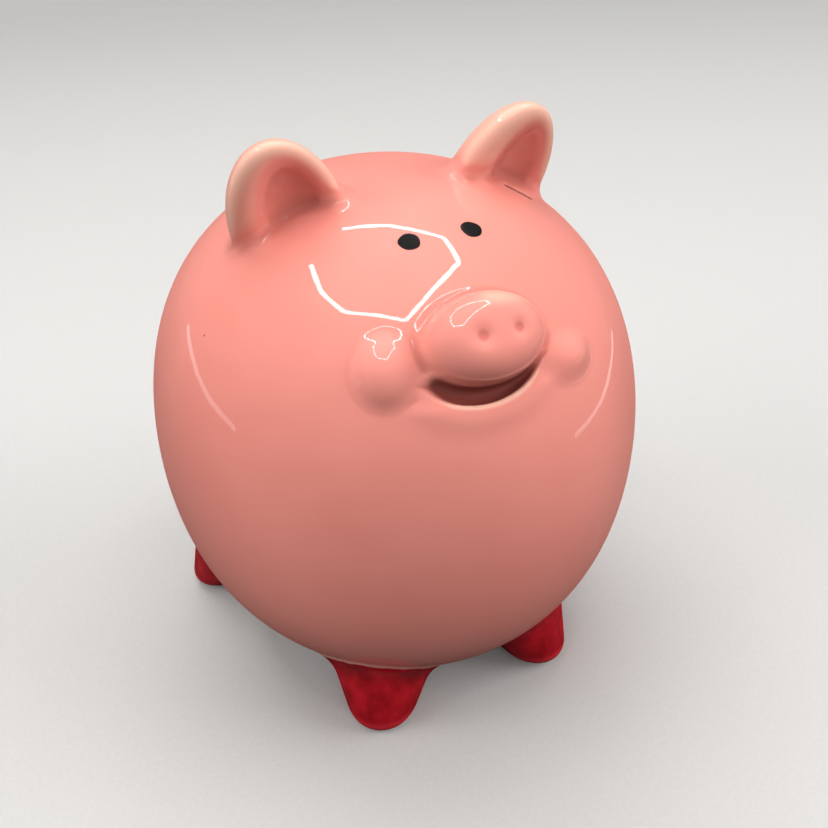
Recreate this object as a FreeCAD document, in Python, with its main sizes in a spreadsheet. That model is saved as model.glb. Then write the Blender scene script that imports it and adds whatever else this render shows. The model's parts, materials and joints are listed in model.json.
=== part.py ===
"""Glazed ceramic piggy bank: a round slip-cast pig that looks up, on four short feet.

Frame: origin on the ground, at the middle of the whole bank's box, +Z up, the pig faces -Y and its
own left is +X, millimetres. Every piece is first built round the upright axis of the round body.
At the end all pieces move back together by body_y, because the tail makes the bank longer behind.

The hollow casting carries the snout, the mouth and the cheeks. The ears, the feet and the tail are
made apart and stuck on with slip, so each is cut to the casting's outside. The eyes are dots of
black enamel, and a rubber stopper closes the hole in the belly.
"""

import FreeCAD, Part
import math
import os
import Sketcher
from FreeCAD import Matrix, Placement, Rotation, Vector

PROFILE_STEPS = 16  # points on the half meridian of a rounded form
PAST_POLE = 3  # points it goes on past each pole
UP = Vector(0, 0, 1)
SIDES = {"left": 1, "right": -1}  # the sign of x on each side

SIZES = {
    # the body's outside, from its rounded form
    "body_width": 125.0,
    "body_depth": 133.0,
    "body_height": 132.5,
    "body_clearance": 3.0,  # ground to the lowest point of the rounded form
    "body_fullness": 0.04,  # how far the shoulders stand out past an ellipsoid
    "body_y": -2.83,  # the body's axis in the finished frame
    "wall": 4.5,
    # the belly's flat, with the hole for the stopper
    "belly_flat": 6.0,  # height of the flat over the ground
    "hole_radius": 15.0,
    # the money slot in the upper back, cut straight down
    "slot_width": 4.5,
    "slot_front": 26.5,
    "slot_back": 54.5,
    # the snout, a short oval drum set square on the face
    "snout_width": 26.4,
    "snout_height": 21.0,
    "snout_proud": 9.0,
    "snout_fullness": 0.12,
    "snout_y": -50.3,
    "snout_z": 114.7,
    "snout_rise": 40.0,  # degrees above the horizon
    "nostril_apart": 8.2,
    "nostril_radius": 2.0,
    # the mouth under the snout, a smiling crescent, with a lip round its lower edge
    "mouth_width": 26.0,
    "mouth_sag": 6.7,  # from the line through the corners down to the lower edge
    "mouth_upper_sag": 1.5,
    "mouth_depth": 3.2,
    "mouth_y": -54.5,
    "mouth_z": 109.9,
    "mouth_rise": 37.0,
    "lip_width": 29.5,
    "lip_sag": 8.9,
    "lip_proud": 0.9,
    # the cheeks at the mouth's corners
    "cheek_radius": 7.6,
    "cheek_x": 19.9,
    "cheek_y": -48.0,
    "cheek_z": 106.1,
    # the ears
    "ear_width": 26.6,
    "ear_depth": 18.0,
    "ear_height": 25.0,
    "ear_fullness": -0.03,
    "ear_rim": 3.4,
    "ear_back_wall": 4.5,
    "ear_x": 25.2,
    "ear_y": -6.0,
    "ear_z": 127.0,
    "ear_lean_out": 7.3,
    "ear_lean_front": 10.0,
    "ear_turn_out": 7.0,
    # the feet: angles run round from the front, radii from the body's axis
    "sole_radius": 5.6,
    "toe_radius": 8.8,
    "toe_height": 3.2,
    "ankle_radius": 11.2,
    "ankle_height": 9.0,
    "calf_radius": 14.4,
    "calf_height": 17.0,
    "front_foot_angle": 32.0,
    "front_foot_reach": 45.0,
    "front_foot_lean": 30.0,
    "front_foot_top": 28.0,
    "front_foot_root": 19.0,
    "rear_foot_angle": 125.0,
    "rear_foot_reach": 61.2,
    "rear_foot_lean": 30.0,
    "rear_foot_top": 36.0,
    "rear_foot_root": 17.0,
    # the tail, one turn and a bit of a rolled coil
    "tail_radius": 5.0,
    "tail_pitch": 6.2,
    "tail_thickness": 4.6,
    "tail_turns": 1.35,
    "tail_y": 61.5,
    "tail_z": 80.0,
    # the eyes
    "eye_radius": 2.4,
    "eye_x": 7.3,
    "eye_y": -30.5,
    "eye_z": 129.6,
    "enamel": 0.2,
    # the stopper
    "stopper_clearance": 0.05,
    "rib_proud": 0.35,
    "rib_height": 1.4,
    "rib_crest": 0.42,  # the flat along a rib's top
    "rib_first": 1.4,  # from the flange to the first rib
    "rib_pitch": 2.24,
    "flange_radius": 18.5,
    "flange_thickness": 2.2,
    "flange_bevel": 0.7,
    "barrel_length": 9.0,
    "barrel_taper": 1.2,
    "cup_radius": 11.6,
    "cup_depth": 4.0,
    "grip_radius": 9.5,
    "web_thickness": 1.8,
    "pull_bar_width": 3.6,
    "pull_bar_height": 2.6,
    "pull_bar_bite": 0.5,  # how far its ends run into the barrel's wall
}

doc = FreeCAD.newDocument("PiggyBank")
sheet = doc.addObject("Spreadsheet::Sheet", "Sizes")
for row, (alias, value) in enumerate(SIZES.items(), start=1):
    sheet.set(f"A{row}", alias.replace("_", " "))
    sheet.set(f"B{row}", str(value))
    sheet.setAlias(f"B{row}", alias)
doc.recompute()


def size(alias):
    """The value that the sheet holds for an alias."""
    return float(sheet.get(alias))


def bind(item, **expressions):
    """Ties properties to expressions over the sheet. In a name, __ stands for a dot."""
    for name, expression in expressions.items():
        item.setExpression(name.replace("__", "."), expression)
    return item


def add(kind, name):
    """A new object of the document."""
    return doc.addObject(kind, name)


def boolean(kind, name, base, tool):
    """A Part::Cut, Part::Fuse or Part::Common of two objects."""
    item = add(kind, name)
    item.Base = base
    item.Tool = tool
    return item


def fuse(name, *shapes):
    """The union of any number of objects."""
    item = add("Part::MultiFuse", name)
    item.Shapes = list(shapes)
    return item


def feature(name, shape, placement=None):
    """A Part::Feature that holds a shape made here, then its Placement."""
    item = add("Part::Feature", name)
    item.Shape = shape
    if placement:
        item.Placement = placement
    return item


def direction(rise, turn=0.0):
    """Unit vector rise degrees over the horizon, turned from the front (-Y) towards +X."""
    up, round_ = math.radians(rise), math.radians(turn)
    return Vector(math.sin(round_) * math.cos(up), -math.cos(round_) * math.cos(up), math.sin(up))


def rounded_form(width, depth, height, fullness):
    """A closed egg-like solid round the origin. Its reach from the centre is an ellipsoid's,
    times 1 + fullness sin(2 angle)^2, so the shoulders stand out or fall in between the axes. The
    meridian is drawn on past each pole, which makes it cross the axis square."""
    steps = range(-PAST_POLE, PROFILE_STEPS + PAST_POLE + 1)
    angles = [math.pi * (step / PROFILE_STEPS - 0.5) for step in steps]
    points = []
    for angle in angles:
        reach = 1 + fullness * math.sin(2 * angle) ** 2
        across = width / 2 * reach * math.cos(angle)
        points.append(Vector(across, 0, height / 2 * reach * math.sin(angle)))
    meridian = Part.BSplineCurve()
    meridian.interpolate(Points=points, Parameters=angles)
    poles = Vector(0, 0, -height / 2), Vector(0, 0, height / 2)
    half = meridian.toShape(*(meridian.parameter(pole) for pole in poles))
    outline = Part.Wire([half, Part.makeLine(half.valueAt(half.LastParameter), poles[0])])
    turned = Part.Face(outline).revolve(Vector(0, 0, 0), UP, 360)
    stretch = Matrix()
    stretch.scale(1, depth / width, 1)
    return Part.Solid(turned.transformGeometry(stretch).Shells[0])


def body_form(name, grow):
    """The body's rounded form, grown or shrunk all round, at its height over the ground."""
    spread = 2 * grow
    solid = rounded_form(
        size("body_width") + spread,
        size("body_depth") + spread,
        size("body_height") + spread,
        size("body_fullness"),
    )
    centre = Vector(0, 0, size("body_clearance") + size("body_height") / 2)
    return feature(name, solid, Placement(centre, Rotation()))


def plane_of(body, role):
    """The origin plane of a body with this role, such as XY_Plane."""
    return next(item for item in body.Origin.OriginFeatures if item.Role == role)


def sketch_on(body, name, role, height=None):
    """A sketch on one of the body's own planes, lifted off it by the expression height."""
    sketch = body.newObject("Sketcher::SketchObject", name)
    sketch.AttachmentSupport = (plane_of(body, role), [""])
    sketch.MapMode = "FlatFace"
    if height:
        sketch.setExpression("AttachmentOffset.Base.z", height)
    return sketch


def circle_sketch(body, name, radius, reach, height):
    """A circle of this radius, centred on the plane's own x axis. All three are expressions."""
    sketch = sketch_on(body, name, "XY_Plane", height)
    middle = sketch.evalExpression(reach)
    around = sketch.evalExpression(radius)
    sketch.addGeometry(Part.Circle(Vector(middle, 0, 0), UP, around), False)
    sketch.addConstraint(Sketcher.Constraint("PointOnObject", 0, 3, -1))
    reach_at = sketch.addConstraint(Sketcher.Constraint("DistanceX", -1, 1, 0, 3, middle))
    radius_at = sketch.addConstraint(Sketcher.Constraint("Radius", 0, around))
    sketch.setExpression(f"Constraints[{reach_at}]", reach)
    sketch.setExpression(f"Constraints[{radius_at}]", radius)
    return sketch


def crescent_sketch(body, name, width, upper_sag, lower_sag):
    """A crescent hung from its two corners, which lie on the plane's x axis. All are expressions."""
    sketch = sketch_on(body, name, "XY_Plane")
    corner = sketch.evalExpression(width) / 2
    for at, sag in enumerate((upper_sag, lower_sag)):
        bottom = Vector(0, -sketch.evalExpression(sag), 0)
        sketch.addGeometry(Part.Arc(Vector(-corner, 0, 0), bottom, Vector(corner, 0, 0)), False)
        radius = f"(({width}) ^ 2 / 4 + ({sag}) ^ 2) / (2 * ({sag}))"
        held = sketch.addConstraint(Sketcher.Constraint("Radius", at, sketch.evalExpression(radius)))
        sketch.setExpression(f"Constraints[{held}]", radius)
    for end, sign in ((1, -1), (2, 1)):
        sketch.addConstraint(Sketcher.Constraint("Coincident", 0, end, 1, end))
        sketch.addConstraint(Sketcher.Constraint("PointOnObject", 0, end, -1))
        held = sketch.addConstraint(Sketcher.Constraint("DistanceX", -1, 1, 0, end, sign * corner))
        sketch.setExpression(f"Constraints[{held}]", f"{sign} * ({width}) / 2")
    return sketch


def outline_sketch(body, name, corners):
    """A closed outline on the XZ plane. Each corner is a pair of expressions: radius, height."""
    sketch = sketch_on(body, name, "XZ_Plane")
    places = [Vector(sketch.evalExpression(r), sketch.evalExpression(z), 0) for r, z in corners]
    count = len(corners)
    for at in range(count):
        sketch.addGeometry(Part.LineSegment(places[at], places[(at + 1) % count]), False)
    for at in range(count):
        sketch.addConstraint(Sketcher.Constraint("Coincident", at, 2, (at + 1) % count, 1))
    for at, (radius, height) in enumerate(corners):
        for kind, value, expression in (
            ("DistanceX", places[at].x, radius),
            ("DistanceY", places[at].y, height),
        ):
            held = sketch.addConstraint(Sketcher.Constraint(kind, -1, 1, at, 1, value))
            sketch.setExpression(f"Constraints[{held}]", expression)
    return sketch


# ---------------------------------------------------------------- the casting


def facing(rise):
    """The turn that takes z to the way the face looks, rise degrees over the horizon, and keeps x."""
    return Rotation(Vector(1, 0, 0), Vector(0, 0, 0), direction(rise), "ZXY")


def snout():
    """The oval drum with a soft rim, square to the face, and its two nostril dimples."""
    turn = facing(size("snout_rise"))
    root = Vector(0, size("snout_y"), size("snout_z"))
    shape = rounded_form(
        size("snout_width"), size("snout_height"), 2 * size("snout_proud"), size("snout_fullness")
    )
    drum = feature("snout_drum", shape, Placement(root, turn))
    nostrils = []
    for side, sign in SIDES.items():
        nostril = add("Part::Sphere", f"nostril_{side}")
        bind(nostril, Radius="Sizes.nostril_radius")
        on_face = Vector(sign * size("nostril_apart") / 2, 0, size("snout_proud"))
        nostril.Placement = Placement(root + turn.multVec(on_face), Rotation())
        nostrils.append(nostril)
    return boolean("Part::Cut", "snout", drum, fuse("nostrils", *nostrils))


def crescent_block(name, width, upper_sag, lower_sag):
    """A crescent carried straight out from the floor of the mouth until it is clear of the face."""
    body = add("PartDesign::Body", f"{name}_block")
    block = body.newObject("PartDesign::Pad", f"{name}_pad")
    block.Profile = crescent_sketch(body, f"{name}_crescent", width, upper_sag, lower_sag)
    bind(block, Length="4 * Sizes.mouth_depth")
    ahead = direction(size("mouth_rise"))
    floor = Vector(0, size("mouth_y"), size("mouth_z")) - ahead * size("mouth_depth")
    body.Placement = Placement(floor, facing(size("mouth_rise")))
    return body


def cheek(side, sign):
    """The ball at one corner of the mouth."""
    ball = add("Part::Sphere", f"cheek_{side}")
    bind(ball, Radius="Sizes.cheek_radius")
    middle = Vector(sign * size("cheek_x"), size("cheek_y"), size("cheek_z"))
    ball.Placement = Placement(middle, Rotation())
    return ball


def slot_cutter():
    """The money slot: a bar with round ends, straight down through the upper back."""
    block = add("Part::Box", "slot_block")
    bind(
        block,
        Length="Sizes.slot_width",
        Width="Sizes.slot_back - Sizes.slot_front - Sizes.slot_width",
        Height="Sizes.body_height",
        Placement__Base__x="-Sizes.slot_width / 2",
        Placement__Base__y="Sizes.slot_front + Sizes.slot_width / 2",
        Placement__Base__z="Sizes.body_height / 2",
    )
    ends = []
    for name, middle in (
        ("slot_front_end", "Sizes.slot_front + Sizes.slot_width / 2"),
        ("slot_back_end", "Sizes.slot_back - Sizes.slot_width / 2"),
    ):
        end = add("Part::Cylinder", name)
        bind(
            end,
            Radius="Sizes.slot_width / 2",
            Height="Sizes.body_height",
            Placement__Base__y=middle,
            Placement__Base__z="Sizes.body_height / 2",
        )
        ends.append(end)
    return fuse("slot_cutter", block, *ends)


def half_space_below(name, height):
    """A block that reaches from far under the part up to this height."""
    block = add("Part::Box", name)
    bind(
        block,
        Length="2 * Sizes.body_width",
        Width="2 * Sizes.body_depth",
        Height="Sizes.body_height",
        Placement__Base__x="-Sizes.body_width",
        Placement__Base__y="-Sizes.body_depth",
        Placement__Base__z=f"{height} - Sizes.body_height",
    )
    return block


def body_shell(outside):
    """The hollow casting: the rounded body with its face, open at the slot and at the belly."""
    cheeks = [cheek(side, sign) for side, sign in SIDES.items()]
    lip_block = crescent_block("lip", "Sizes.lip_width", "Sizes.mouth_upper_sag", "Sizes.lip_sag")
    lip = boolean("Part::Common", "lip", lip_block, body_form("lip_form", size("lip_proud")))
    mouth = crescent_block("mouth", "Sizes.mouth_width", "Sizes.mouth_upper_sag", "Sizes.mouth_sag")
    with_lip = fuse("body_with_lip", outside, lip, *cheeks)
    with_mouth = boolean("Part::Cut", "body_with_mouth", with_lip, mouth)
    with_face = fuse("body_with_face", with_mouth, snout())
    flat = half_space_below("belly_cutter", "Sizes.belly_flat")
    solid = boolean("Part::Cut", "body_solid", with_face, flat)
    floor = half_space_below("cavity_floor", "Sizes.belly_flat + Sizes.wall")
    cavity = boolean("Part::Cut", "cavity", body_form("cavity_form", -size("wall")), floor)
    hole = add("Part::Cylinder", "stopper_hole")
    bind(hole, Radius="Sizes.hole_radius", Height="Sizes.belly_flat + 2 * Sizes.wall")
    openings = fuse("openings", cavity, hole, slot_cutter())
    return boolean("Part::Cut", "body_shell", solid, openings)


# ---------------------------------------------------------- the parts stuck on


def ear(side, sign, outside):
    """A leaf-shaped cup, hollow in front, leaning forward and turned a little outward."""
    width, depth, height = size("ear_width"), size("ear_depth"), 2 * size("ear_height")
    rim, back_wall, fullness = size("ear_rim"), size("ear_back_wall"), size("ear_fullness")
    axis = Vector(sign * size("ear_lean_out"), -size("ear_lean_front"), size("ear_height"))
    backward = -direction(0, sign * size("ear_turn_out"))
    turn = Rotation(Vector(0, 0, 0), backward, axis, "ZYX")
    root = Vector(sign * size("ear_x"), size("ear_y"), size("ear_z"))
    leaf_shape = rounded_form(width, depth, height, fullness)
    leaf = feature(f"ear_{side}_leaf", leaf_shape, Placement(root, turn))
    hollow_at = root + turn.multVec(Vector(0, -back_wall, 0))
    hollow = feature(
        f"ear_{side}_hollow",
        rounded_form(width - 2 * rim, depth, height - rim, fullness),
        Placement(hollow_at, turn),
    )
    cup = boolean("Part::Cut", f"ear_{side}_cup", leaf, hollow)
    return boolean("Part::Cut", f"ear_{side}", cup, outside)


def foot(name, end, sign, outside):
    """A short leg on round sections that lean in from the sole to the body's side. It is lofted
    out along +X, then turned round the body's axis to its angle from the front, which is -Y."""
    body = add("PartDesign::Body", f"{name}_leg")
    top = f"Sizes.{end}_foot_top"
    levels = (
        ("sole", "Sizes.sole_radius", "0"),
        ("toe", "Sizes.toe_radius", "Sizes.toe_height"),
        ("ankle", "Sizes.ankle_radius", "Sizes.ankle_height"),
        ("calf", "Sizes.calf_radius", "Sizes.calf_height"),
        ("root", f"Sizes.{end}_foot_root", top),
    )
    sketches = []
    for level, radius, height in levels:
        reach = f"Sizes.{end}_foot_reach - ({height}) * tan(Sizes.{end}_foot_lean * 1 deg)"
        sketches.append(circle_sketch(body, f"{name}_{level}", radius, reach, height))
    leg = body.newObject("PartDesign::AdditiveLoft", f"{name}_loft")
    leg.Profile = sketches[0]
    leg.Sections = sketches[1:]
    body.Placement = Placement(Vector(), Rotation(UP, 1))
    body.setExpression("Placement.Rotation.Angle", f"{sign} * Sizes.{end}_foot_angle - 90")
    return boolean("Part::Cut", name, body, outside)


def tail(outside):
    """A rolled coil of one turn and a bit, on an axis that points back."""
    coil = add("Part::Helix", "tail_coil")
    bind(
        coil,
        Radius="Sizes.tail_radius",
        Pitch="Sizes.tail_pitch",
        Height="Sizes.tail_pitch * Sizes.tail_turns",
    )
    back = Rotation(Vector(1, 0, 0), Vector(0, 0, 0), Vector(0, 1, 0), "ZXY")
    coil.Placement = Placement(Vector(0, size("tail_y"), size("tail_z")), back)
    doc.recompute()
    start, finish = coil.Shape.Edges[0], coil.Shape.Edges[-1]
    first, last = start.valueAt(start.FirstParameter), finish.valueAt(finish.LastParameter)
    section = add("Part::Circle", "tail_section")
    bind(section, Radius="Sizes.tail_thickness / 2")
    section.Placement = Placement(first, Rotation(UP, start.tangentAt(start.FirstParameter)))
    roll = add("Part::Sweep", "tail_roll")
    roll.Sections = [section]
    roll.Spine = (coil, [])
    roll.Solid = True
    roll.Frenet = True
    tip = add("Part::Sphere", "tail_tip")
    bind(tip, Radius="Sizes.tail_thickness / 2")
    tip.Placement = Placement(last, Rotation())
    return boolean("Part::Cut", "tail", fuse("tail_whole", roll, tip), outside)


def eye(side, sign, enamel_skin):
    """A round dot of enamel, as thick as the skin over the body's outside."""
    place = Vector(sign * size("eye_x"), size("eye_y"), size("eye_z"))
    centre_height = size("body_clearance") + size("body_height") / 2
    half = (size("body_width") / 2, size("body_depth") / 2, size("body_height") / 2)
    offset = place - Vector(0, 0, centre_height)
    square = Vector(*(value / reach**2 for value, reach in zip(offset, half))).normalize()
    pin = add("Part::Cylinder", f"eye_{side}_pin")
    bind(pin, Radius="Sizes.eye_radius", Height="2 * Sizes.eye_radius")
    pin.Placement = Placement(place - square * size("eye_radius"), Rotation(UP, square))
    return boolean("Part::Common", f"eye_{side}", pin, enamel_skin)


# ------------------------------------------------------------------ the stopper


def stopper():
    """A soft rubber plug: flange, ribbed barrel, cup on top and a pull bar in the grip below."""
    body = add("PartDesign::Body", "stopper")
    seat = "Sizes.belly_flat"
    under = f"({seat} - Sizes.flange_thickness)"
    crest = "(Sizes.hole_radius - Sizes.stopper_clearance)"
    barrel = f"({crest} - Sizes.rib_proud)"
    top = f"({seat} + Sizes.barrel_length)"
    cup = f"({top} - Sizes.cup_depth)"
    ribs = []
    for number in (0, 1):
        low = f"({seat} + Sizes.rib_first + {number} * Sizes.rib_pitch)"
        slope = "(Sizes.rib_height - Sizes.rib_crest) / 2"
        ribs += [
            (barrel, low),
            (crest, f"{low} + {slope}"),
            (crest, f"{low} + {slope} + Sizes.rib_crest"),
            (barrel, f"{low} + Sizes.rib_height"),
        ]
    corners = [
        ("Sizes.grip_radius", under),
        ("Sizes.flange_radius - Sizes.flange_bevel", under),
        ("Sizes.flange_radius", f"{under} + Sizes.flange_bevel"),
        ("Sizes.flange_radius", f"{seat} - Sizes.flange_bevel"),
        ("Sizes.flange_radius - Sizes.flange_bevel", seat),
        (barrel, seat),
        *ribs,
        (f"{barrel} - Sizes.barrel_taper", top),
        ("Sizes.cup_radius", top),
        ("Sizes.cup_radius", cup),
        ("0", cup),
        ("0", f"{cup} - Sizes.web_thickness"),
        ("Sizes.grip_radius", f"{cup} - Sizes.web_thickness"),
    ]
    outline = outline_sketch(body, "stopper_outline", corners)
    turned = body.newObject("PartDesign::Revolution", "stopper_turned")
    turned.Profile = outline
    turned.ReferenceAxis = (outline, ["V_Axis"])
    turned.Angle = 360
    bar = body.newObject("PartDesign::AdditiveBox", "pull_bar")
    bar.AttachmentSupport = (plane_of(body, "XY_Plane"), [""])
    bar.MapMode = "FlatFace"
    bind(
        bar,
        Length="2 * (Sizes.grip_radius + Sizes.pull_bar_bite)",
        Width="Sizes.pull_bar_width",
        Height="Sizes.pull_bar_height",
        AttachmentOffset__Base__x="-Sizes.grip_radius - Sizes.pull_bar_bite",
        AttachmentOffset__Base__y="-Sizes.pull_bar_width / 2",
        AttachmentOffset__Base__z=under,
    )
    return body


def build():
    """Every sub-part, keyed by the name of its file."""
    outside = body_form("outside", 0.0)
    parts = {"body_shell": body_shell(outside)}
    skin = boolean("Part::Cut", "enamel_skin", body_form("enamel_form", size("enamel")), outside)
    for side, sign in SIDES.items():
        parts[f"ear_{side}"] = ear(side, sign, outside)
        parts[f"eye_{side}"] = eye(side, sign, skin)
        for end in ("front", "rear"):
            name = f"foot_{end}_{side}"
            parts[name] = foot(name, end, sign, outside)
    parts["tail"] = tail(outside)
    parts["stopper"] = stopper()
    for item in parts.values():
        bind(item, Placement__Base__y="Sizes.body_y")
    return parts


def check(parts):
    """Stops on any object that didn't build, and on any sub-part that isn't one sound solid."""
    doc.recompute()
    for item in doc.Objects:
        if {"Invalid", "Error"} & set(item.State):
            raise SystemExit(f"{item.Name} did not build: {item.State}")
    for name, item in parts.items():
        item.Label = name
        shape = item.Shape
        if shape.isNull() or not shape.isValid() or len(shape.Solids) != 1:
            raise SystemExit(f"{name} isn't one sound solid: {len(shape.Solids)} solids")


def export(parts):
    """Writes each sub-part to its own file."""
    os.makedirs("parts", exist_ok=True)
    for name, item in parts.items():
        item.Shape.exportStep(os.path.join("parts", f"{name}.step"))
        box = item.Shape.BoundBox
        print(f"{name:18s} {item.Shape.Volume / 1000:8.2f} cm3  z {box.ZMin:7.2f} to {box.ZMax:7.2f}")


parts = build()
check(parts)
export(parts)
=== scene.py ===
"""The piggy bank's looks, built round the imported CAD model.

Every ceramic piece is the zero surface of a distance field, in millimetres. The fields use the
CAD's directions, but with the origin on the upright axis of the round body, which lies a little
in front of the CAD's origin. One mesher turns each field into a closed mesh. The field of all the
ceramic together gives the surface directions, so that the glaze runs on without a seam from the
casting to the pieces stuck onto it.
"""

import json
import math

import bpy
import numpy as np
from mathutils import Matrix, Vector

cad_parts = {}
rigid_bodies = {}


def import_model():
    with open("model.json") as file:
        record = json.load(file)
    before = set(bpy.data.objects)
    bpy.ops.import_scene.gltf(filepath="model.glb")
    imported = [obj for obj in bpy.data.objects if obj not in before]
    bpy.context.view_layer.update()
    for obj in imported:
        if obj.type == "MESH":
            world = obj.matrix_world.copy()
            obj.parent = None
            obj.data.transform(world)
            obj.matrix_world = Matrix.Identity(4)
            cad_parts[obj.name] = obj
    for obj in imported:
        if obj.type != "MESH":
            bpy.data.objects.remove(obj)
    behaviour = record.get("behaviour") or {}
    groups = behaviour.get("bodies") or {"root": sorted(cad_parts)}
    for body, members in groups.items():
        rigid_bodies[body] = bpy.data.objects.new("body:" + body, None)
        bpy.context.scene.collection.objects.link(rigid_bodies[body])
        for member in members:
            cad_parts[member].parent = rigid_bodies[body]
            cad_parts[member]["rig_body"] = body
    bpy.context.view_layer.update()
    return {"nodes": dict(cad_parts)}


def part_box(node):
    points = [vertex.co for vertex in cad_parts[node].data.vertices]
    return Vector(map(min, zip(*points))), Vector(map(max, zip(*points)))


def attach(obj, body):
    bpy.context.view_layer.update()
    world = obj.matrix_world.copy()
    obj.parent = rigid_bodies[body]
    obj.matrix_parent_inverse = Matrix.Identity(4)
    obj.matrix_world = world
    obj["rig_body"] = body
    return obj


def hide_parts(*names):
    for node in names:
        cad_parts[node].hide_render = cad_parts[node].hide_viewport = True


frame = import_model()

MM = 0.001
TINY = 1e-9  # keeps a division off zero

# From the CAD's origin to the body's upright axis. The shapes, the lamps and the camera go by it.
BODY_AXIS = np.array([0, (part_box("body_shell")[0][1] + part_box("body_shell")[1][1]) / 2 / MM, 0])
FROM_AXIS = Matrix.Translation(Vector(BODY_AXIS * MM))


def node_box(node):
    """A CAD node's lowest and highest corner from the body's axis, in millimetres."""
    low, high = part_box(node)
    return np.array(low) / MM - BODY_AXIS, np.array(high) / MM - BODY_AXIS


def unit(vector):
    """The vector's direction, as a vector of length 1."""
    vector = np.array(vector, float)
    return vector / np.linalg.norm(vector)


class Axes:
    """A local frame: an origin and three square directions."""

    def __init__(self, origin, across, up):
        self.origin = np.array(origin, float)
        self.ahead = unit(np.cross(across, up))
        self.across = unit(across)
        self.up = unit(np.cross(self.ahead, self.across))

    def local(self, p):
        """The coordinates of p across, up and ahead of the origin."""
        away = [p[i] - self.origin[i] for i in range(3)]
        return [
            away[0] * axis[0] + away[1] * axis[1] + away[2] * axis[2]
            for axis in (self.across, self.up, self.ahead)
        ]


# --------------------------------------------------------------- distance fields


def smooth_min(a, b, blend):
    """The union of two fields, with a fillet where they meet."""
    share = np.clip(0.5 + 0.5 * (b - a) / blend, 0, 1)
    return b * (1 - share) + a * share - blend * share * (1 - share)


def smooth_max(a, b, blend):
    """What two fields have in common, with a rounded edge."""
    return -smooth_min(-a, -b, blend)


def smooth_step(low, high, value):
    """0 up to low, 1 from high on, and smooth between them."""
    t = np.clip((value - low) / (high - low), 0, 1)
    return t * t * (3 - 2 * t)


def ellipsoid(offset, half):
    """Roughly the distance from an ellipsoid round the origin of offset."""
    q = [offset[i] / half[i] for i in range(3)]
    reach = np.sqrt(q[0] ** 2 + q[1] ** 2 + q[2] ** 2) + TINY
    slope = np.sqrt(sum((q[i] / half[i]) ** 2 for i in range(3))) / reach
    return (reach - 1) / (slope + TINY)


def from_line(p, start, end):
    """The distance from the line between two points, and the nearest point's share of its length."""
    step = end - start
    away = [p[i] - start[i] for i in range(3)]
    along = np.clip(sum(away[i] * step[i] for i in range(3)) / (step @ step), 0, 1)
    return np.sqrt(sum((away[i] - along * step[i]) ** 2 for i in range(3))), along


BODY_LOW, BODY_HIGH = node_box("body_shell")
GROUND_GAP = 3.0  # ground to the rounded form's lowest point
WALL = 4.5
FULLNESS = 0.04
HALF_X, HALF_Y = BODY_HIGH[0], -BODY_LOW[1]
HALF_Z = (BODY_HIGH[2] - GROUND_GAP) / 2
CENTRE_Z = GROUND_GAP + HALF_Z
BELLY_Z = BODY_LOW[2]
HOLE_RADIUS = 15.0
SLOT_RADIUS = 2.25
SLOT_FRONT, SLOT_BACK = 26.5, 54.5


def form(p, grow=0.0):
    """The body's rounded form: an ellipsoid with fuller shoulders."""
    x, y, z = p
    qx, qy, qz = x / HALF_X, y / HALF_Y, (z - CENTRE_Z) / HALF_Z
    reach = np.sqrt(qx**2 + qy**2 + qz**2) + TINY
    rise = (qz / reach) ** 2
    slope = np.sqrt((qx / HALF_X) ** 2 + (qy / HALF_Y) ** 2 + (qz / HALF_Z) ** 2) / reach
    return (reach - 1 - 4 * FULLNESS * rise * (1 - rise)) / slope - grow


def tilted(origin, rise, turn=0):
    """A frame on the face that looks rise degrees over the horizon, turned to the pig's left."""
    r, t = math.radians(rise), math.radians(turn)
    across = (math.cos(t), math.sin(t), 0)
    up = (-math.sin(t) * math.sin(r), math.cos(t) * math.sin(r), math.cos(r))
    return Axes(origin, across, up)


SNOUT = tilted((-0.2, -49.9, 114.0), 40)
SNOUT_HALF = (13.9, 9.6)
SNOUT_TAPER = (0.34, 0.1)
SNOUT_TAPER_FROM = -4.0
SNOUT_PROUD = 9.0
SNOUT_CROWN = 1.4  # how far the front falls away to the rim
SNOUT_RIM = 5.2
SNOUT_FILLETS = (1.4, 2.0)  # under the snout and over it
NOSTRILS = {-1: (0.8, 2.0), 1: (0.7, 1.8)}  # depth and reach of the dimples
NOSTRIL_APART = 8.0
NOSTRIL_SHIFT = (0.6, -0.5)


def snout(p):
    """The oval drum with its soft rim, its crowned front and two soft dimples."""
    u, v, w = SNOUT.local(p)
    height = np.clip(w, SNOUT_TAPER_FROM, SNOUT_PROUD)
    half_u = SNOUT_HALF[0] - SNOUT_TAPER[0] * height
    half_v = SNOUT_HALF[1] - SNOUT_TAPER[1] * height
    oval = np.sqrt((u / half_u) ** 2 + (v / half_v) ** 2) + TINY
    slope = np.sqrt((u / half_u**2) ** 2 + (v / half_v**2) ** 2) / oval
    side = (oval - 1) / slope
    front = w - SNOUT_PROUD + SNOUT_CROWN * oval**2
    for sign, (depth, reach) in NOSTRILS.items():
        away = np.hypot(u - NOSTRIL_SHIFT[0] - sign * NOSTRIL_APART / 2, v - NOSTRIL_SHIFT[1])
        front = front + depth * np.exp(-((away / reach) ** 2))
    drum = smooth_max(side, front, SNOUT_RIM)
    return np.maximum(drum, -w - SNOUT_PROUD)


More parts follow.
